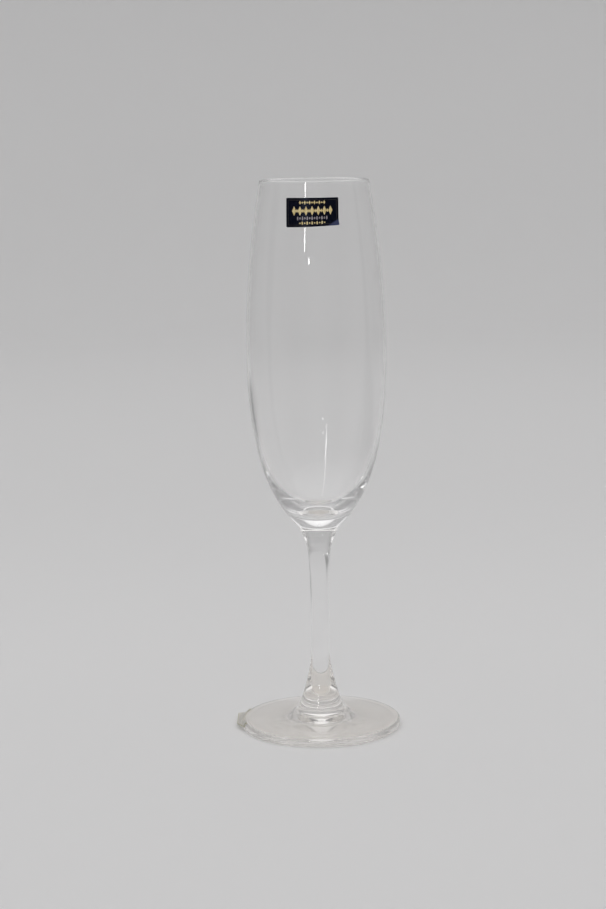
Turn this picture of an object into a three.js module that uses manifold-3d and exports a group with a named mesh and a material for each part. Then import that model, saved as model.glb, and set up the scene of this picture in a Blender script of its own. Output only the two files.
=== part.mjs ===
// A champagne flute: a blown bowl on a drawn stem and a pressed foot, with a paper label on the
// bowl and a clear film tab on the edge of the foot.
// Millimetres, +Z up. The origin is on the table under the stem, and the label faces -Y.
// Every piece of glass is turned about the Z axis from an outline of (radius, height) points.

import * as THREE from "three";
import { mergeVertices } from "three/addons/utils/BufferGeometryUtils.js";
import Module from "manifold-3d";

const wasm = await Module();
wasm.setup();

// ---- Driving dimensions -------------------------------------------------------------------

const OVERALL_HEIGHT = 225;
const FACETS = 60; // sides of every turned piece

// Bowl
const RIM_RADIUS = 22;
const WALL = 1; // at the rim, and a little more at the belly
const BELLY_RADIUS = 28.3;
const BELLY_HEIGHT = 158.5;
const RIM_CURVE_HEIGHT = 187.5; // where the rim's outward lean would meet the belly radius
const SHOULDER_HEIGHT = 103; // where the bowl's lower cone would meet the belly radius
const CAVITY_FLOOR = 91;

// Stem
const BOWL_WELD_RADIUS = 8.45;
const BOWL_WELD_HEIGHT = 84.4;
const STEM_RADIUS = 3.75;
const STEM_SLIM_TOP = 53.5; // the stem is parallel from here...
const STEM_SLIM_BOTTOM = 31; // ...down to here
const TAPER_CORNER = [4.3, 76]; // (radius, height) that the taper under the bowl bends towards
const FLARE_HEIGHT = 26.2; // where the lower flare would meet the slim stem

// Foot
const FOOT_WELD_RADIUS = 7.1;
const FOOT_WELD_HEIGHT = 14.5;
const FOOT_RADIUS = 32.8;
const FOOT_EDGE = 3.3; // thickness at the edge
const FOOT_ROUNDING = 1.1; // radius of the edge's two corners
const REST_RING_WIDTH = 1.7; // the flat ring that the flute stands on
const PLATE_START = [12.4, 6.4]; // (radius, height) where the hub's flare has turned into the plate
const HUB_CORNER = [9.6, 6.8]; // where the flare and the plate would meet
const ARCH_HEIGHT = 2.1; // of the hollow underside, at the dimple's edge
const DIMPLE_RADIUS = 8.7;
const DIMPLE_HEIGHT = 3.6;

// Label on the bowl
const LABEL_WIDTH = 20.8; // along the glass
const LABEL_TOP = 218.6;
const LABEL_BOTTOM = 207.3;
const LABEL_TURN = THREE.MathUtils.degToRad(-2.2); // its middle, off the -Y direction
const PAPER = 0.15;

// Film tab on the foot
const TAB_OUT = 2.2; // how far it stands out from the foot
const FILM = 0.35;
const TAB_BACK = 11.7; // the tab's ends, fore and aft of the foot's leftmost point
const TAB_FRONT = -8.9;
const TAB_CORNER = -3.3; // where its slanted front edge starts...
const TAB_SLANT = 3; // ...and how far that edge comes in
const TAB_GRIP = 5.5; // how far over the foot the film is looked for

const CLEARANCE = 0.05; // between the glass and what is stuck on it

// ---- Outlines -----------------------------------------------------------------------------

const point = (radius, height) => new THREE.Vector2(radius, height);

// A smooth bend that leaves `from` towards `corner` and reaches `to` from `corner`. The pulls,
// 0 to 1, say how far it follows each straight line into the corner.
function bend(from, corner, to, pullFrom, pullTo, steps) {
  const handleFrom = from.clone().lerp(corner, pullFrom);
  const handleTo = to.clone().lerp(corner, pullTo);
  return new THREE.CubicBezierCurve(from, handleFrom, handleTo, to).getPoints(steps);
}

// A round stretch about `centre`, between two angles in degrees, counted from the +radius side.
function arc(centre, radius, startDegrees, endDegrees, steps) {
  const start = THREE.MathUtils.degToRad(startDegrees);
  const end = THREE.MathUtils.degToRad(endDegrees);
  return Array.from({ length: steps + 1 }, (_, i) => {
    const angle = start + ((end - start) * i) / steps;
    return point(centre.x + radius * Math.cos(angle), centre.y + radius * Math.sin(angle));
  });
}

// One outline out of several stretches, with the points that two stretches share kept once.
function join(...stretches) {
  const outline = [];
  for (const next of stretches.flat()) {
    const last = outline.at(-1);
    if (!last || last.distanceTo(next) > 1e-6) outline.push(next);
  }
  return outline;
}

function radiusAt(outline, height) {
  const i = outline.findIndex((p, k) => k > 0 && (p.y - height) * (outline[k - 1].y - height) <= 0);
  const [a, b] = [outline[i - 1], outline[i]];
  return THREE.MathUtils.mapLinear(height, a.y, b.y, a.x, b.x);
}

// ---- Solids -------------------------------------------------------------------------------

function turned(outline) {
  return new THREE.LatheGeometry(outline, FACETS).rotateX(Math.PI / 2);
}

function solidOf(geometry) {
  const bare = geometry.clone();
  bare.deleteAttribute("normal");
  bare.deleteAttribute("uv");
  const merged = mergeVertices(bare, 1e-4);
  return new wasm.Manifold(
    new wasm.Mesh({
      numProp: 3,
      vertProperties: new Float32Array(merged.attributes.position.array),
      triVerts: new Uint32Array(merged.index.array),
    }),
  );
}

// What two closed geometries have in common.
function common(first, second) {
  const mesh = solidOf(first).intersect(solidOf(second)).getMesh();
  const geometry = new THREE.BufferGeometry();
  geometry.setAttribute("position", new THREE.BufferAttribute(mesh.vertProperties, 3));
  geometry.setIndex(new THREE.BufferAttribute(mesh.triVerts, 1));
  geometry.computeVertexNormals();
  return geometry;
}

// ---- Bowl ---------------------------------------------------------------------------------

const lip = WALL / 2; // radius of the round lip
const rimOutside = point(RIM_RADIUS, OVERALL_HEIGHT - lip);
const belly = point(BELLY_RADIUS, BELLY_HEIGHT);
const bowlWeld = point(BOWL_WELD_RADIUS, BOWL_WELD_HEIGHT);
const footWeld = point(FOOT_WELD_RADIUS, FOOT_WELD_HEIGHT);

const bowlSide = join(
  bend(bowlWeld, point(BELLY_RADIUS, SHOULDER_HEIGHT), belly, 0.79, 0.61, 12),
  bend(belly, point(BELLY_RADIUS, RIM_CURVE_HEIGHT), rimOutside, 0.667, 0.667, 8),
);

function bowl() {
  const insideBelly = point(BELLY_RADIUS - 1.1 * WALL, BELLY_HEIGHT);
  const rimInside = point(RIM_RADIUS - WALL, OVERALL_HEIGHT - lip);
  const floor = point(0, CAVITY_FLOOR);
  return turned(
    join(
      [point(0, BOWL_WELD_HEIGHT)],
      bowlSide,
      arc(point(RIM_RADIUS - lip, OVERALL_HEIGHT - lip), lip, 0, 180, 4),
      bend(rimInside, point(insideBelly.x, RIM_CURVE_HEIGHT), insideBelly, 0.667, 0.667, 8),
      bend(insideBelly, point(insideBelly.x, CAVITY_FLOOR), floor, 0.8, 0.5, 12),
    ),
  );
}

// ---- Stem ---------------------------------------------------------------------------------

function stem() {
  const slimTop = point(STEM_RADIUS, STEM_SLIM_TOP);
  const slimBottom = point(STEM_RADIUS, STEM_SLIM_BOTTOM);
  return turned(
    join(
      [point(0, FOOT_WELD_HEIGHT)],
      bend(footWeld, point(STEM_RADIUS, FLARE_HEIGHT), slimBottom, 0.75, 0.7, 6),
      bend(slimTop, point(...TAPER_CORNER), bowlWeld, 1, 1, 10),
      [point(0, BOWL_WELD_HEIGHT)],
    ),
  );
}

// ---- Foot ---------------------------------------------------------------------------------

const upperCorner = point(FOOT_RADIUS - FOOT_ROUNDING, FOOT_EDGE - FOOT_ROUNDING);

function foot() {
  const lowerCorner = point(upperCorner.x, FOOT_ROUNDING);
  const restInner = point(lowerCorner.x - REST_RING_WIDTH, 0);
  const dimpleEdge = point(DIMPLE_RADIUS, ARCH_HEIGHT);
  const top = point(0, DIMPLE_HEIGHT);
  return turned(
    join(
      bend(top, point(0.85 * DIMPLE_RADIUS, DIMPLE_HEIGHT), dimpleEdge, 0.9, 0.5, 6),
      bend(dimpleEdge, point(2 * DIMPLE_RADIUS, ARCH_HEIGHT), restInner, 0.5, 0.4, 5),
      arc(lowerCorner, FOOT_ROUNDING, -90, 0, 4),
      arc(upperCorner, FOOT_ROUNDING, 0, 82, 4),
      bend(point(...PLATE_START), point(...HUB_CORNER), footWeld, 0.8, 0.8, 8),
      [point(0, FOOT_WELD_HEIGHT)],
    ),
  );
}

// ---- Label --------------------------------------------------------------------------------

function frontLabel() {
  const heights = [LABEL_BOTTOM, (LABEL_BOTTOM + LABEL_TOP) / 2, LABEL_TOP];
  const skin = (offset) => heights.map((z) => point(radiusAt(bowlSide, z) + offset, z));
  const inside = skin(CLEARANCE);
  const outside = skin(CLEARANCE + PAPER);
  const band = turned([...outside, ...inside.reverse(), outside[0]]);

  const glassRadius = radiusAt(bowlSide, heights[1]);
  const chord = 2 * glassRadius * Math.sin(LABEL_WIDTH / 2 / glassRadius);
  const sheet = new THREE.BoxGeometry(chord, BELLY_RADIUS, OVERALL_HEIGHT)
    .translate(0, -BELLY_RADIUS / 2 - STEM_RADIUS, OVERALL_HEIGHT / 2)
    .rotateZ(LABEL_TURN);
  return common(band, sheet);
}

// ---- Film tab -----------------------------------------------------------------------------

// The film is stuck over the upper half of the foot's edge and stands out flat beside it.
function footSticker() {
  const out = FOOT_RADIUS + TAB_OUT;
  const middle = FOOT_EDGE / 2;
  const inner = FOOT_ROUNDING + CLEARANCE;
  const outer = inner + FILM;
  const band = turned([
    ...arc(upperCorner, inner, 80, 0, 4),
    point(upperCorner.x + inner, middle),
    point(out + FILM, middle),
    point(out + FILM, middle + FILM),
    point(upperCorner.x + outer, middle + FILM),
    ...arc(upperCorner, outer, 0, 80, 4),
    arc(upperCorner, inner, 80, 0, 4)[0],
  ]);
  const sheet = new THREE.Shape([
    point(-out, TAB_BACK),
    point(-out, TAB_CORNER),
    point(-out + TAB_SLANT, TAB_FRONT),
    point(-out + TAB_GRIP, TAB_FRONT),
    point(-out + TAB_GRIP, TAB_BACK),
  ]);
  const tall = 2 * FOOT_EDGE;
  return common(band, new THREE.ExtrudeGeometry(sheet, { depth: tall, bevelEnabled: false }));
}

// ---- Assembly -----------------------------------------------------------------------------

function finish(color, roughness) {
  return new THREE.MeshStandardMaterial({ color, roughness, metalness: 0 });
}

const pieces = {
  bowl: [bowl(), finish(0xe6ecec, 0.03)],
  stem: [stem(), finish(0xe6ecec, 0.03)],
  foot: [foot(), finish(0xe3e8e6, 0.04)],
  front_label: [frontLabel(), finish(0x0a0d20, 0.35)],
  foot_sticker: [footSticker(), finish(0xbfbab0, 0.3)],
};

const flute = new THREE.Group();
for (const [name, [geometry, material]] of Object.entries(pieces)) {
  const mesh = new THREE.Mesh(geometry, material);
  mesh.name = name;
  flute.add(mesh);
}

export default flute;
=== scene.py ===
"""Looks for a clear champagne flute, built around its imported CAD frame.

Outlines are (radius, height) points in millimetres and are turned to metres when a mesh is made.
+Z is up and the label faces -Y.
"""

import math

import bmesh
import bpy
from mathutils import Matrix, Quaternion, Vector


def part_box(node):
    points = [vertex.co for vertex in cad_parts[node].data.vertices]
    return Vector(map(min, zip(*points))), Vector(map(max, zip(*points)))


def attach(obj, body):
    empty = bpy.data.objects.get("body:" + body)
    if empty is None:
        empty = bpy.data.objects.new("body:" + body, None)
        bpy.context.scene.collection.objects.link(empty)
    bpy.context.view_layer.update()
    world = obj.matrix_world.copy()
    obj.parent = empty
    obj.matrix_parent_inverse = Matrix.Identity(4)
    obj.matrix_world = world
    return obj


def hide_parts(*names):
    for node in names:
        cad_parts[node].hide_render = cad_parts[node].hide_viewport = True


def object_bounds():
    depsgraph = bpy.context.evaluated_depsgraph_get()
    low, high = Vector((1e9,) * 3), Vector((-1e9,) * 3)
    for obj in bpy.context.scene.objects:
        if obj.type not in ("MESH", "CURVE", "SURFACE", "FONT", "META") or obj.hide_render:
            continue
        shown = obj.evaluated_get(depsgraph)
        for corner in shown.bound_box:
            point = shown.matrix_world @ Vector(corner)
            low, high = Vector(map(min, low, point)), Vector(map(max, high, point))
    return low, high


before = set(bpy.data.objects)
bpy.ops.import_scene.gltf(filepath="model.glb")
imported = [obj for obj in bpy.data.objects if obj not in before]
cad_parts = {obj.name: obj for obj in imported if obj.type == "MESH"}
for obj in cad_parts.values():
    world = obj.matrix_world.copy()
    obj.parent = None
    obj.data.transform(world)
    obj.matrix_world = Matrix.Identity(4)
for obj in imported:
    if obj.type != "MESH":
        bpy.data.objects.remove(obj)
cad_low, cad_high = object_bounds()

MM = 0.001
BODY = "root"

# ---- Sizes, in millimetres ------------------------------------------------------------------


def reach(node):
    """How far a turned CAD node reaches from the axis."""
    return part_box(node)[1].x / MM


HEIGHT = cad_high.z / MM
RIM_RADIUS = 22.0
WALL = 1.0  # at the rim...
BELLY_WALL = 1.1  # ...and a little more at the belly
BELLY_RADIUS = reach("bowl")
BELLY_HEIGHT = 158.5
RIM_CURVE_HEIGHT = 187.5  # where the rim's outward lean would meet the belly radius
SHOULDER_HEIGHT = 103.0  # where the bowl's lower cone would meet the belly radius
CAVITY_FLOOR = 91.0

BOWL_WELD = (reach("stem"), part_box("stem")[1].z / MM)
STEM_RADIUS = 3.75
STEM_SLIM_TOP = 53.5  # the stem is parallel from here...
STEM_SLIM_BOTTOM = 31.0  # ...down to here
TAPER_CORNER = (4.3, 76.0)  # (radius, height) that the taper under the bowl bends towards
FLARE_HEIGHT = 26.2  # where the lower flare would meet the slim stem

FOOT_WELD = (7.1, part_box("stem")[0].z / MM)
FOOT_RADIUS = reach("foot")
FOOT_EDGE = 3.3  # thickness at the edge
FOOT_ROUNDING = 1.1  # radius of the edge's two corners
REST_RING_WIDTH = 1.7  # the flat ring that the flute stands on
PLATE = (12.4, 6.4)  # where the foot's plate starts
HUB_CORNER = (9.6, 6.8)  # where the stem's flare and the plate would meet
ARCH_HEIGHT = 2.1  # of the hollow underside, at the dimple's edge
DIMPLE_RADIUS = 8.7
DIMPLE_HEIGHT = 3.6

LABEL_WIDTH = 20.8
LABEL_HEIGHT = (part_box("front_label")[1].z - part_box("front_label")[0].z) / MM
LABEL_MIDDLE = (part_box("front_label")[0].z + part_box("front_label")[1].z) / 2 / MM
LABEL_TURN = math.radians(-2.2)  # of its middle, off the -Y direction
LABEL_ROUNDING = 0.45
LABEL_SLANT = 0.7  # how much higher the lower edge ends on the right
LABEL_FOLD = 1.75  # where the loose lower right corner starts: 2 would be the corner itself
LABEL_CURL = 1.1  # how far that corner stands off the glass
# LABEL_FADE sets how softly the painted sheen on the loose corner starts at the fold.
LABEL_FADE = 0.7  # how softly the corner's paler colour starts at the fold
PAPER = 0.15
PRINT = 0.03  # thickness of the gold and silver print

TAB_REACH = -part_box("foot_sticker")[0].x / MM
TAB_BACK = 11.7  # the tab's ends, fore and aft of the foot's leftmost point
TAB_FRONT = -8.9
TAB_CORNER = -3.3  # where its slanted front edge starts...
TAB_SLANT = 3.0  # ...and how far that edge comes in
TAB_BORDER = 0.35  # width of its darker cut edge
TAB_DROOP = 0.25  # how far its free edge hangs down
TAB_WRAP = 80  # degrees of the foot's rounded edge that it is stuck round
FILM = 0.35

CLEARANCE = 0.05  # between the glass and what is stuck on it

TOUCHING = 1e-6  # points closer than this are one, and a smaller radius is the axis itself
SHARP_GLASS = 50  # degrees between two faces from which an edge of turned glass is crisp
SIDES = 256  # of every turned piece
LABEL_ROWS = 16
LABEL_COLUMNS = 40
CORNER_STEPS = 6  # of each rounded corner of the label
BEAD_SIDES = 16
RULE_STEPS = 16
TAB_STEPS = 20

# ---- Outlines -------------------------------------------------------------------------------


def between(a, b, share):
    """The point a share of the way from a to b."""
    return tuple(p + (q - p) * share for p, q in zip(a, b))


def bend(start, corner, end, pull_start, pull_end, steps):
    """A smooth bend that leaves start towards corner and reaches end from corner. The pulls,
    0 to 1, say how far it follows each straight line into the corner."""
    handle_start = between(start, corner, pull_start)
    handle_end = between(end, corner, pull_end)
    points = []
    for i in range(steps + 1):
        t = i / steps
        u = 1 - t
        weights = (u**3, 3 * u * u * t, 3 * u * t * t, t**3)
        corners = (start, handle_start, handle_end, end)
        points.append(tuple(sum(w * c[k] for w, c in zip(weights, corners)) for k in (0, 1)))
    return points


def arc(centre, radius, start_degrees, end_degrees, steps):
    """A round stretch about centre, between two angles counted from the +radius side."""
    points = []
    for i in range(steps + 1):
        angle = math.radians(start_degrees + (end_degrees - start_degrees) * i / steps)
        points.append((centre[0] + radius * math.cos(angle), centre[1] + radius * math.sin(angle)))
    return points


def join(*stretches):
    """One outline out of several stretches, with the points that two stretches share kept once."""
    outline = []
    for point in (p for stretch in stretches for p in stretch):
        if not outline or math.dist(outline[-1], point) > TOUCHING:
            outline.append(point)
    return outline


def radius_at(outline, height):
    """The radius of a rising outline at a height."""
    for low, high in zip(outline, outline[1:]):
        if low[1] <= height <= high[1]:
            return between(low, high, (height - low[1]) / (high[1] - low[1]))[0]
    raise ValueError(f"the outline doesn't reach {height}")


# ---- Meshes ---------------------------------------------------------------------------------


def finished_mesh(name, build, sharp_degrees):
    """A bmesh in millimetres made into a mesh in metres, its faces smooth and facing out."""
    bmesh.ops.recalc_face_normals(build, faces=build.faces)
    bmesh.ops.scale(build, vec=(MM, MM, MM), verts=build.verts)
    for face in build.faces:
        face.smooth = True
    mesh = bpy.data.meshes.new(name)
    build.to_mesh(mesh)
    build.free()
    mesh.set_sharp_from_angle(angle=math.radians(sharp_degrees))
    return mesh


def add_shell(build, front, back, kind_of=lambda side, i, j: 0):
    """A closed sheet between two grids of points. kind_of(side, i, j) picks each face's material."""
    rows = len(front)
    columns = len(front[0])
    grids = [[[build.verts.new(p) for p in row] for row in grid] for grid in (front, back)]
    for side, grid in zip(("front", "back"), grids):
        for i in range(rows - 1):
            for j in range(columns - 1):
                face = build.faces.new(
                    (grid[i][j], grid[i][j + 1], grid[i + 1][j + 1], grid[i + 1][j]))
                face.material_index = kind_of(side, i, j)
    border = [(i, 0) for i in range(rows)]
    border += [(rows - 1, j) for j in range(1, columns)]
    border += [(i, columns - 1) for i in range(rows - 2, -1, -1)]
    border += [(0, j) for j in range(columns - 2, 0, -1)]
    for (i, j), (k, m) in zip(border, border[1:] + border[:1]):
        face = build.faces.new((grids[0][i][j], grids[0][k][m], grids[1][k][m], grids[1][i][j]))
        face.material_index = kind_of("edge", i, j)


def add_patch(build, outline, place, low, high):
    """A small raised shape between two offsets. The outline runs once round its middle, and
    place(across, up, offset) gives each point's place in space."""
    centre = tuple(sum(p[k] for p in outline) / len(outline) for k in (0, 1))
    tops = [build.verts.new(place(*p, high)) for p in outline]
    bottoms = [build.verts.new(place(*p, low)) for p in outline]
    top = build.verts.new(place(*centre, high))
    bottom = build.verts.new(place(*centre, low))
    for k in range(len(outline)):
        n = (k + 1) % len(outline)
        build.faces.new((top, tops[k], tops[n]))
        build.faces.new((bottom, bottoms[n], bottoms[k]))
        build.faces.new((tops[k], bottoms[k], bottoms[n], tops[n]))


def piece_from(name, mesh, slot, replaced, *materials):
    """A visible piece that rides on the body, in place of a CAD node if one is named."""
    piece = bpy.data.objects.new(name, mesh)
    bpy.context.scene.collection.objects.link(piece)
    for material in materials:
        mesh.materials.append(material)
    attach(piece, BODY)
    if replaced:
        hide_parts(replaced)
    return piece


def turned_mesh(name, outline, is_weld=lambda a, b: False):
    """The outline turned about Z. It starts and ends on the axis, and steps that is_weld picks
    take the second material."""
    build = bmesh.new()
    rings = []
    for radius, height in outline:
        if radius < TOUCHING:
            rings.append([build.verts.new((0, 0, height * MM))] * SIDES)
            continue
        ring = []
        for k in range(SIDES):
            turn = 2 * math.pi * k / SIDES
            ring.append(build.verts.new(
                (radius * MM * math.cos(turn), radius * MM * math.sin(turn), height * MM)))
        rings.append(ring)
    for i, (lower, upper) in enumerate(zip(rings, rings[1:])):
        weld = is_weld(outline[i], outline[i + 1])
        for k in range(SIDES):
            n = (k + 1) % SIDES
            corners = [lower[k], lower[n], upper[n], upper[k]]
            face = build.faces.new(list(dict.fromkeys(corners)))
            face.smooth = not weld
            face.material_index = int(weld)
    mesh = bpy.data.meshes.new(name)
    build.to_mesh(mesh)
    build.free()
    mesh.set_sharp_from_angle(angle=math.radians(SHARP_GLASS))
    return mesh


# ---- Materials ------------------------------------------------------------------------------


def new_material(name):
    """A material with its nodes, its links and its Principled shader."""
    material = bpy.data.materials.new(name)
    material.use_nodes = True
    nodes = material.node_tree.nodes
    return material, nodes, material.node_tree.links, nodes["Principled BSDF"]


def ramp(nodes, links, where, direction, starts, ends):
    """A value that rises smoothly from 0 to 1 between two distances along a direction."""
    along = nodes.new("ShaderNodeVectorMath")
    along.operation = "DOT_PRODUCT"
    along.inputs[1].default_value = direction
    rise = nodes.new("ShaderNodeMapRange")
    rise.interpolation_type = "SMOOTHSTEP"
    rise.inputs["From Min"].default_value = starts * MM
    rise.inputs["From Max"].default_value = ends * MM
    links.new(where.outputs["Object"], along.inputs[0])
    links.new(along.outputs["Value"], rise.inputs["Value"])
    return rise.outputs["Result"]


def glass(name, tint, ripple_scale, ripple_height):
    """Clear crystal. Its surface has the faint ripples that hot-worked glass keeps."""
    material, nodes, links, shader = new_material(name)
    shader.inputs["Base Color"].default_value = (*tint, 1)
    shader.inputs["Roughness"].default_value = 0.0
    shader.inputs["IOR"].default_value = 1.54
    shader.inputs["Transmission Weight"].default_value = 1.0
    where = nodes.new("ShaderNodeTexCoord")
    stretch = nodes.new("ShaderNodeMapping")
    stretch.inputs["Scale"].default_value = ripple_scale
    ripples = nodes.new("ShaderNodeTexNoise")
    ripples.inputs["Scale"].default_value = 1.0
    ripples.inputs["Detail"].default_value = 1.0
    bump = nodes.new("ShaderNodeBump")
    bump.inputs["Strength"].default_value = 1.0
    bump.inputs["Distance"].default_value = ripple_height
    links.new(where.outputs["Object"], stretch.inputs["Vector"])
    links.new(stretch.outputs["Vector"], ripples.inputs["Vector"])
    links.new(ripples.outputs["Fac"], bump.inputs["Height"])
    links.new(bump.outputs["Normal"], shader.inputs["Normal"])
    return material


def fused_joint():
    """The plane where two gathers of glass are fused: light crosses it unbent, a little dimmed."""
    material, nodes, links, shader = new_material("fused_joint")
    nodes.remove(shader)
    clear = nodes.new("ShaderNodeBsdfTransparent")
    clear.inputs["Color"].default_value = (0.97, 0.965, 0.955, 1)
    links.new(clear.outputs["BSDF"], nodes["Material Output"].inputs["Surface"])
    return material


# ---- Glass ----------------------------------------------------------------------------------


def bowl_side():
    """The outside of the bowl, from the upper weld to the rim."""
    belly = (BELLY_RADIUS, BELLY_HEIGHT)
    rim_outside = (RIM_RADIUS, HEIGHT - WALL / 2)
    return join(
        bend(BOWL_WELD, (BELLY_RADIUS, SHOULDER_HEIGHT), belly, 0.79, 0.61, 64),
        bend(belly, (BELLY_RADIUS, RIM_CURVE_HEIGHT), rim_outside, 0.667, 0.667, 40),
    )


def bowl_outline():
    """The flat weld, the outside, the lip, and the inside down to the cavity's floor."""
    lip = WALL / 2
    rim_inside = (RIM_RADIUS - WALL, HEIGHT - lip)
    inside_belly = (BELLY_RADIUS - BELLY_WALL, BELLY_HEIGHT)
    return join(
        [(0, BOWL_WELD[1])],
        bowl_side(),
        arc((RIM_RADIUS - lip, HEIGHT - lip), lip, 0, 180, 12),
        bend(rim_inside, (inside_belly[0], RIM_CURVE_HEIGHT), inside_belly, 0.667, 0.667, 40),
        bend(inside_belly, (inside_belly[0], CAVITY_FLOOR), (0, CAVITY_FLOOR), 0.8, 0.5, 64),
    )


def stem_outline():
    """The stem from the lower weld to the upper one."""
    slim_top = (STEM_RADIUS, STEM_SLIM_TOP)
    slim_bottom = (STEM_RADIUS, STEM_SLIM_BOTTOM)
    return join(
        [(0, FOOT_WELD[1])],
        bend(FOOT_WELD, (STEM_RADIUS, FLARE_HEIGHT), slim_bottom, 0.75, 0.7, 32),
        bend(slim_top, TAPER_CORNER, BOWL_WELD, 1, 1, 48),
        [(0, BOWL_WELD[1])],
    )


def foot_outline():
    """The hollow underside, the round edge, the plate, and the hub up to its weld."""
    round_out = FOOT_RADIUS - FOOT_ROUNDING
    rest_inner = (round_out - REST_RING_WIDTH, 0)
    dimple_edge = (DIMPLE_RADIUS, ARCH_HEIGHT)
    return join(
        bend((0, DIMPLE_HEIGHT), (0.85 * DIMPLE_RADIUS, DIMPLE_HEIGHT), dimple_edge, 0.9, 0.5, 32),
        bend(dimple_edge, (2 * DIMPLE_RADIUS, ARCH_HEIGHT), rest_inner, 0.5, 0.4, 24),
        arc((round_out, FOOT_ROUNDING), FOOT_ROUNDING, -90, 0, 12),
        arc((round_out, FOOT_EDGE - FOOT_ROUNDING), FOOT_ROUNDING, 0, 82, 12),
        bend(PLATE, HUB_CORNER, FOOT_WELD, 0.8, 0.8, 40),
        [(0, FOOT_WELD[1])],
    )


CLEAR = (1, 1, 1)
FAINTLY_WARM = (0.985, 0.968, 0.945)  # the foot is the thickest glass across, and shows its colour


def make_glass():
    """Bowl, stem and foot, closed meshes whose flat welds are clear joints."""
    joint = fused_joint()
    for name, outline, weld_heights, tint, ripple_scale, ripple_height in (
        ("bowl", bowl_outline(), (BOWL_WELD[1],), CLEAR, (60, 60, 9), 1.5e-6),
        ("stem", stem_outline(), (BOWL_WELD[1], FOOT_WELD[1]), CLEAR, (120, 120, 12), 1.5e-6),
        ("foot", foot_outline(), (FOOT_WELD[1],), FAINTLY_WARM, (60, 60, 60), 5e-7),
    ):
        mesh = turned_mesh(
            f"{name}_glass", outline,
            lambda a, b, flats=weld_heights: a[1] == b[1] and a[1] in flats)
        piece_from(f"{name}_glass", mesh, f"{name}_glass", name,
                   glass(f"{name}_crystal", tint, ripple_scale, ripple_height), joint)


# ---- Label ----------------------------------------------------------------------------------

BOWL_SIDE = bowl_side()


def label_point(across, up, offset):
    """A point on the label, across and up from its middle and a little off the glass. The lower
    edge climbs to the right, where its corner has come unstuck."""
    rightwards = 0.5 + across / LABEL_WIDTH
    downwards = 0.5 - up / LABEL_HEIGHT
    curl = max(0.0, rightwards + downwards - LABEL_FOLD) / (2 - LABEL_FOLD)
    height = LABEL_MIDDLE + up + LABEL_SLANT * downwards * rightwards**2
    glass_radius = radius_at(BOWL_SIDE, height)
    radius = glass_radius + CLEARANCE + offset + LABEL_CURL * curl**1.5
    turn = LABEL_TURN + across / glass_radius
    return (radius * math.sin(turn), -radius * math.cos(turn), height)


def label_grid(offset):
    """Rows of points over the label, closer together where its corners are rounded."""
    straight = LABEL_HEIGHT / 2 - LABEL_ROUNDING
    quarter = [i * math.pi / 2 / CORNER_STEPS for i in range(CORNER_STEPS)]
    rows = [(-straight - LABEL_ROUNDING * math.cos(a), LABEL_ROUNDING * (1 - math.sin(a)))
            for a in quarter]
    rows += [(-straight + 2 * straight * i / LABEL_ROWS, 0) for i in range(LABEL_ROWS + 1)]
    rows += [(-up, inset) for up, inset in reversed(rows[:CORNER_STEPS])]
    grid = []
    for up, inset in rows:
        half = LABEL_WIDTH / 2 - inset
        places = [-half + 2 * half * j / LABEL_COLUMNS for j in range(LABEL_COLUMNS + 1)]
        grid.append([label_point(across, up, offset) for across in places])
    return grid


# Painted sheen: the bluish light that the label's lifted corner catches, painted into its colour.
PAINTED_SHEEN_BLUE = (0.045, 0.055, 0.13, 1)


def fold_line():
    """The direction in which the label's corner is loose, and how far along it the fold lies."""
    loose = 2 - LABEL_FOLD
    low = label_point(LABEL_WIDTH * (0.5 - loose), -LABEL_HEIGHT / 2, 0)
    high = label_point(LABEL_WIDTH / 2, -LABEL_HEIGHT * (0.5 - loose), 0)
    outwards = Vector((high[2] - low[2], 0, low[0] - high[0])).normalized()
    return outwards, outwards.dot(low)


def label_paper():
    """Dark navy coated paper with a fine tooth. Its loose corner has a painted bluish sheen, the light
    that the lifted corner catches.
    """
    material, nodes, links, shader = new_material("navy_coated_paper")
    where = nodes.new("ShaderNodeTexCoord")
    tooth = nodes.new("ShaderNodeTexNoise")
    tooth.inputs["Scale"].default_value = 2500
    tooth.inputs["Detail"].default_value = 4
    tones = nodes.new("ShaderNodeValToRGB")
    tones.color_ramp.elements[0].color = (0.0008, 0.0013, 0.0060, 1)
    tones.color_ramp.elements[1].color = (0.0016, 0.0024, 0.0095, 1)
    bump = nodes.new("ShaderNodeBump")
    bump.inputs["Distance"].default_value = 3e-6
    links.new(where.outputs["Object"], tooth.inputs["Vector"])
    links.new(tooth.outputs["Fac"], tones.inputs["Fac"])
    outwards, fold = fold_line()
    # The loose corner's painted sheen, mixed into the colour beyond the fold.
    sheen_mix = nodes.new("ShaderNodeMix")
    sheen_mix.data_type = "RGBA"
    sheen_mix.inputs["B"].default_value = PAINTED_SHEEN_BLUE
    links.new(ramp(nodes, links, where, outwards, fold, fold + LABEL_FADE), sheen_mix.inputs["Factor"])
    links.new(tones.outputs["Color"], sheen_mix.inputs["A"])
    links.new(sheen_mix.outputs["Result"], shader.inputs["Base Color"])
    links.new(tooth.outputs["Fac"], bump.inputs["Height"])
    links.new(bump.outputs["Normal"], shader.inputs["Normal"])
    shader.inputs["Roughness"].default_value = 0.25
    shader.inputs["Specular IOR Level"].default_value = 0.2
    shader.inputs["Specular Tint"].default_value = (0.6, 0.7, 1, 1)
    return material


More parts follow.
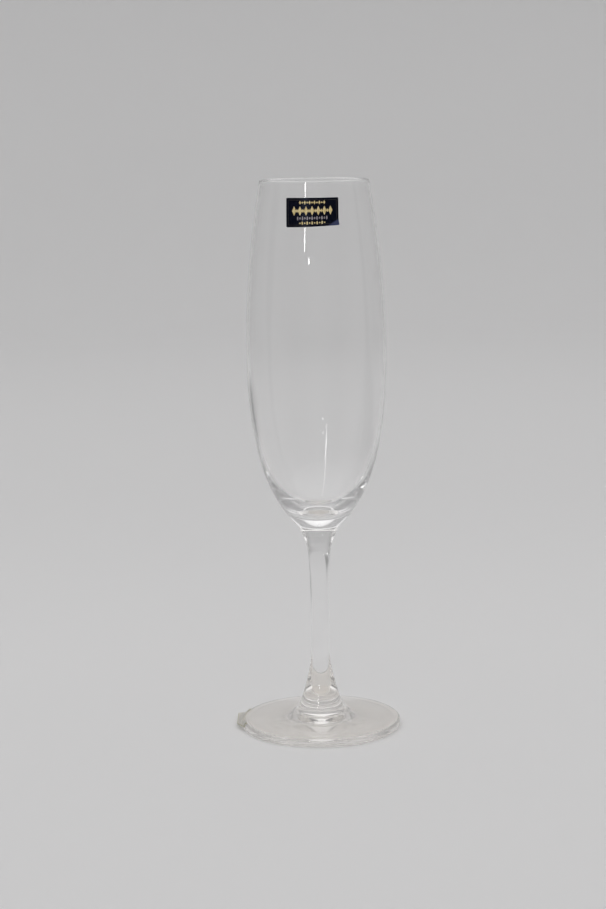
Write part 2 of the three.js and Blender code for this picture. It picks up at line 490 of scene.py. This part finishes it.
def mottled(name, dark, light, scale, roughness, metallic=0.0):
    """A plain finish with small uneven patches between two tones."""
    material, nodes, links, shader = new_material(name)
    where = nodes.new("ShaderNodeTexCoord")
    patches = nodes.new("ShaderNodeTexNoise")
    patches.inputs["Scale"].default_value = scale
    patches.inputs["Detail"].default_value = 3
    tones = nodes.new("ShaderNodeValToRGB")
    tones.color_ramp.elements[0].position = 0.35
    tones.color_ramp.elements[0].color = (*dark, 1)
    tones.color_ramp.elements[1].position = 0.65
    tones.color_ramp.elements[1].color = (*light, 1)
    links.new(where.outputs["Object"], patches.inputs["Vector"])
    links.new(patches.outputs["Fac"], tones.inputs["Fac"])
    links.new(tones.outputs["Color"], shader.inputs["Base Color"])
    shader.inputs["Roughness"].default_value = roughness
    shader.inputs["Metallic"].default_value = metallic
    return material


def make_label():
    """The paper sheet, its glued back in grey."""
    build = bmesh.new()
    add_shell(build, label_grid(PAPER), label_grid(0), lambda side, i, j: int(side == "back"))
    glue = mottled("grey_glued_back", (0.20, 0.20, 0.21), (0.32, 0.32, 0.33), 900, 0.5)
    piece_from("label", finished_mesh("label", build, sharp_degrees=60), "label_foil", "front_label",
               label_paper(), glue)


def lozenge(middle, up, width, height):
    """A lozenge's outline, with a point halfway along each side."""
    corners = [(middle - width / 2, up), (middle, up - height / 2),
               (middle + width / 2, up), (middle, up + height / 2)]
    return [between(a, b, share) for a, b in zip(corners, corners[1:] + corners[:1])
            for share in (0, 0.5)]


def bead(middle, up, width, height):
    """A round or oval outline."""
    turns = [2 * math.pi * k / BEAD_SIDES for k in range(BEAD_SIDES)]
    return [(middle + width / 2 * math.cos(a), up + height / 2 * math.sin(a)) for a in turns]


def spread(count, width):
    """Evenly spaced places across a width, about its middle."""
    return [width * (i / (count - 1) - 0.5) for i in range(count)]


def add_rule(build, ends, thick, bottom, top):
    """A thin printed line between two points of the label, across or up."""
    (left, low), (right, high) = ends
    grids = []
    for offset in (top, bottom):
        rows = []
        for i in range(RULE_STEPS + 1):
            across, up = between((left, low), (right, high), i / RULE_STEPS)
            if left == right:
                pair = ((across - thick / 2, up), (across + thick / 2, up))
            else:
                pair = ((across, up + thick / 2), (across, up - thick / 2))
            rows.append([label_point(*p, offset) for p in pair])
        grids.append(rows)
    add_shell(build, *grids)


# Ornament in the places where such a label is printed. Each row: (which print, shape of its marks,
# how many, how wide the row is, how far above the label's middle, (width, height) of the 1st, 3rd...
# marks, and of the 2nd, 4th...).
PRINT_ROWS = (
    ("gold", lozenge, 11, 9.4, 3.8, (0.85, 1.6), (0.85, 0.8)),
    ("gold", lozenge, 13, 14.2, 0.6, (1.7, 3.7), (0.9, 1.5)),
    ("gold", bead, 11, 9.6, -4.15, (0.6, 0.6), (0.6, 1.3)),
    ("silver", bead, 13, 11.3, -2.3, (0.6, 1.5), (0.6, 0.9)),
)
FRAME_INSET = 0.85  # of the thin printed frame, from the label's edge
FRAME_LINE = 0.07


def make_print():
    """The raised rows of ornament, and the thin frame round them."""
    bottom = PAPER - PRINT / 2
    top = PAPER + PRINT
    prints = {"gold": bmesh.new(), "frame": bmesh.new(), "silver": bmesh.new()}
    for which, shape, count, width, up, *sizes in PRINT_ROWS:
        for k, across in enumerate(spread(count, width)):
            add_patch(prints[which], shape(across, up, *sizes[k % 2]), label_point, bottom, top)
    right = LABEL_WIDTH / 2 - FRAME_INSET
    high = LABEL_HEIGHT / 2 - FRAME_INSET
    for ends in (((-right, high), (right, high)), ((-right, -high), (right, -high)),
                 ((-right, -high), (-right, high)), ((right, -high), (right, high))):
        add_rule(prints["frame"], ends, FRAME_LINE, bottom, PAPER + PRINT / 2)
    for name, build, dark, light in (
            ("label_gold_print", prints["gold"], (0.80, 0.62, 0.26), (1.0, 0.84, 0.46)),
            ("label_frame_line", prints["frame"], (0.05, 0.042, 0.03), (0.10, 0.085, 0.06)),
            ("label_silver_print", prints["silver"], (0.28, 0.25, 0.27), (0.46, 0.42, 0.45))):
        piece_from(name, finished_mesh(name, build, sharp_degrees=40), "label_foil", None,
                   mottled(name, dark, light, 1500, 0.4, 0.1))


# ---- Film tab -------------------------------------------------------------------------------


def tab_grid(layer):
    """Points over the tab, from its line over the foot out to the free edge. Layer 0 is the side
    that is stuck down and 1 the open side."""
    corner = (FOOT_RADIUS - FOOT_ROUNDING, FOOT_EDGE - FOOT_ROUNDING)
    rounding = FOOT_ROUNDING + CLEARANCE + FILM * layer
    flat = FOOT_EDGE / 2 + FILM * layer
    stuck = arc(corner, rounding, TAB_WRAP, 0, 8) + [(corner[0] + rounding, flat)]
    length = TAB_BACK - TAB_FRONT
    border = TAB_BORDER / length
    steps = [0, border] + [i / TAB_STEPS for i in range(1, TAB_STEPS)] + [1 - border, 1]
    grid = []
    for step in sorted(steps):
        y = TAB_FRONT + length * step
        slant = max(0.0, TAB_CORNER - y) / (TAB_CORNER - TAB_FRONT)
        tip = TAB_REACH - TAB_SLANT * slant
        row = [(-math.sqrt(radius**2 - y**2), y, height) for radius, height in stuck]
        root = row[-1][0]
        # The border keeps its width, except where the tab is too narrow for that.
        last = max(0.4, 1 - TAB_BORDER / (tip + root))
        for share in (last / 2, last, 1):
            droop = TAB_DROOP * share**2 * (1 - slant)
            row.append((root + (-tip - root) * share, y, flat - droop))
        grid.append(row)
    return grid


def tab_film():
    """Clear film gone a little beige, hazy where it is handled."""
    material, nodes, links, shader = new_material("beige_clear_film")
    where = nodes.new("ShaderNodeTexCoord")
    haze = nodes.new("ShaderNodeTexNoise")
    haze.inputs["Scale"].default_value = 400
    haze.inputs["Detail"].default_value = 3
    tones = nodes.new("ShaderNodeValToRGB")
    tones.color_ramp.elements[0].color = (0.92, 0.90, 0.85, 1)
    tones.color_ramp.elements[1].color = (0.97, 0.96, 0.92, 1)
    bump = nodes.new("ShaderNodeBump")
    bump.inputs["Distance"].default_value = 1e-5
    links.new(where.outputs["Object"], haze.inputs["Vector"])
    links.new(haze.outputs["Fac"], tones.inputs["Fac"])
    links.new(tones.outputs["Color"], shader.inputs["Base Color"])
    links.new(haze.outputs["Fac"], bump.inputs["Height"])
    links.new(bump.outputs["Normal"], shader.inputs["Normal"])
    shader.inputs["Roughness"].default_value = 0.35
    shader.inputs["IOR"].default_value = 1.48
    shader.inputs["Transmission Weight"].default_value = 0.8
    return material


def make_tab():
    """The film, with a darker border along its cut edges."""
    build = bmesh.new()
    open_side = tab_grid(1)
    rows = len(open_side) - 1
    columns = len(open_side[0]) - 1

    def is_border(side, i, j):
        return int(side == "edge" or i in (0, rows - 1) or j == columns - 1)

    add_shell(build, open_side, tab_grid(0), is_border)
    edge = mottled("olive_cut_edge", (0.46, 0.45, 0.35), (0.60, 0.58, 0.47), 1200, 0.4)
    piece_from("film_tab", finished_mesh("film_tab", build, sharp_degrees=40), "tab_film", "foot_sticker",
               tab_film(), edge)


# ---- Stage, light and camera ----------------------------------------------------------------

FLOOR_RADIUS = 1500
COVE = 500
WALL_HEIGHT = 1600
FLOOR_GAP = 0.05  # glass that lay exactly in the floor's plane would render black

# The paper's tone around the flute, and the painted shade and painted light that change it away from it:
# (how much of the tone is left, ramps). A ramp is (the direction that it runs in, where it starts and
# ends), and ramps multiply.
PAPER_TONE = 0.80
PAINTED_PAPER_SHADES = (
    # Painted shade, except the rise up the wall, which is painted light:
    (0.8, ((0.985, -0.17, 0), 300, 1300)),  # off to the right
    (0.78, ((-0.985, -0.17, 0), 350, 1300)),  # and to the left
    (0.75, ((0, -1, 0), 500, 1500)),  # behind the viewer
    (0.94, ((0, 1, 0), 40, 560)),  # going back
    (1.07, ((0, 0, 1), 60, 400)),  # paler again up the wall
    # A soft patch of painted shadow on the floor at the back left, which edges the bowl's left wall...
    (0.49, ((-0.987, -0.16, 0), 132, 185), ((0.987, 0.16, 0), -650, -300),
     ((0, 1, 0), 200, 430), ((0, -1, 0), -1000, -520)),
    # ...and a painted shadow patch on the right, which edges the stem.
    (0.56, ((0.985, -0.17, 0), 150, 240), ((0, 1, 0), -160, 0), ((0, -1, 0), -300, -100)),
)


def make_stage():
    """A pale round floor that curves up into a wall all round."""
    outline = join(
        [(0, -FLOOR_GAP)],
        arc((FLOOR_RADIUS, COVE - FLOOR_GAP), COVE, -90, 0, 16),
        [(FLOOR_RADIUS + COVE, WALL_HEIGHT)],
    )
    stage = bpy.data.objects.new("cyclorama", turned_mesh("cyclorama", outline))
    bpy.context.scene.collection.objects.link(stage)
    stage.data.materials.append(paper_material())


def paper_material():
    """Matt pale paper, with painted shade and painted light in its tone, as the table of shades says."""
    material, nodes, links, shader = new_material("pale_paper")
    shader.inputs["Roughness"].default_value = 0.9
    where = nodes.new("ShaderNodeTexCoord")

    def times(first, second):
        product = nodes.new("ShaderNodeMath")
        product.operation = "MULTIPLY"
        for value, socket in zip((first, second), product.inputs):
            if isinstance(value, float):
                socket.default_value = value
            else:
                links.new(value, socket)
        return product.outputs["Value"]

    tone = PAPER_TONE
    for left, first, *others in PAINTED_PAPER_SHADES:
        amount = ramp(nodes, links, where, *first)
        for other in others:
            amount = times(amount, ramp(nodes, links, where, *other))
        share = nodes.new("ShaderNodeMapRange")
        share.inputs["To Min"].default_value = 1
        share.inputs["To Max"].default_value = left
        links.new(amount, share.inputs["Value"])
        tone = times(tone, share.outputs["Result"])
    links.new(tone, shader.inputs["Base Color"])
    return material


SKY_SIDE = 0.49  # brightness of the light near the horizon...
SKY_TOP = 1.075  # ...and overhead


def make_world():
    """An even, almost white sky, brighter overhead."""
    world = bpy.data.worlds.new("studio")
    bpy.context.scene.world = world
    world.use_nodes = True
    nodes = world.node_tree.nodes
    links = world.node_tree.links
    nodes["Background"].inputs["Color"].default_value = (1, 0.992, 0.995, 1)
    where = nodes.new("ShaderNodeTexCoord")
    parts = nodes.new("ShaderNodeSeparateXYZ")
    height = nodes.new("ShaderNodeMapRange")
    height.inputs["To Min"].default_value = SKY_SIDE
    height.inputs["To Max"].default_value = SKY_TOP
    links.new(where.outputs["Generated"], parts.inputs["Vector"])
    links.new(parts.outputs["Z"], height.inputs["Value"])
    links.new(height.outputs["Result"], nodes["Background"].inputs["Strength"])


# Lamps that the glass reflects: (name, degrees to the right of straight ahead of the label,
# distance, lowest and highest point, width, radiance).
LAMPS = (
    ("strip_lamp", -18.4, 1500, 440, 1100, 34, 18),
    ("spot_lamp", -11.2, 1500, 390, 412, 55, 30),
)


def make_lamps():
    """Upright lamps that face the flute. Only the glass shows them."""
    for name, degrees, distance, lowest, highest, width, radiance in LAMPS:
        turn = math.radians(degrees)
        data = bpy.data.lights.new(name, "AREA")
        data.shape = "RECTANGLE"
        data.size = width * MM
        data.size_y = (highest - lowest) * MM
        data.energy = radiance * math.pi * data.size * data.size_y
        lamp = bpy.data.objects.new(name, data)
        bpy.context.scene.collection.objects.link(lamp)
        lamp.location = (distance * MM * math.sin(turn), -distance * MM * math.cos(turn),
                         (lowest + highest) / 2 * MM)
        lamp.rotation_euler = (math.pi / 2, 0, turn)
        lamp.visible_camera = False
        lamp.visible_diffuse = False


CAMERA_DISTANCE = 824.1  # from the flute's axis, in millimetres
CAMERA_HEIGHT = 250.3
CAMERA_PITCH = math.radians(-9.4)
CAMERA_YAW = math.radians(-0.42)  # a little left of the flute
CAMERA_ROLL = math.radians(-0.86)
LENS = 81.2
SENSOR = 36
BOUNCES = 1024  # light runs a long way inside the rim and the foot


def make_camera():
    """A camera a little above the rim, looking slightly down at the flute."""
    data = bpy.data.cameras.new("camera")
    data.lens = LENS
    data.sensor_width = SENSOR
    data.clip_start = 0.05
    data.clip_end = 20
    camera = bpy.data.objects.new("camera", data)
    bpy.context.scene.collection.objects.link(camera)
    ahead = Vector((
        math.sin(CAMERA_YAW) * math.cos(CAMERA_PITCH),
        math.cos(CAMERA_YAW) * math.cos(CAMERA_PITCH),
        math.sin(CAMERA_PITCH),
    ))
    camera.location = (0, -CAMERA_DISTANCE * MM, CAMERA_HEIGHT * MM)
    camera.rotation_mode = "QUATERNION"
    camera.rotation_quaternion = (
        ahead.to_track_quat("-Z", "Y") @ Quaternion((0, 0, 1), CAMERA_ROLL))
    bpy.context.scene.camera = camera


make_glass()
make_label()
make_print()
make_tab()
make_stage()
make_world()
make_lamps()
make_camera()

scene = bpy.context.scene
scene.view_settings.view_transform = "Standard"
scene.cycles.max_bounces = BOUNCES
scene.cycles.transmission_bounces = BOUNCES
scene.cycles.glossy_bounces = BOUNCES
scene.cycles.transparent_max_bounces = 256
scene.cycles.blur_glossy = 0
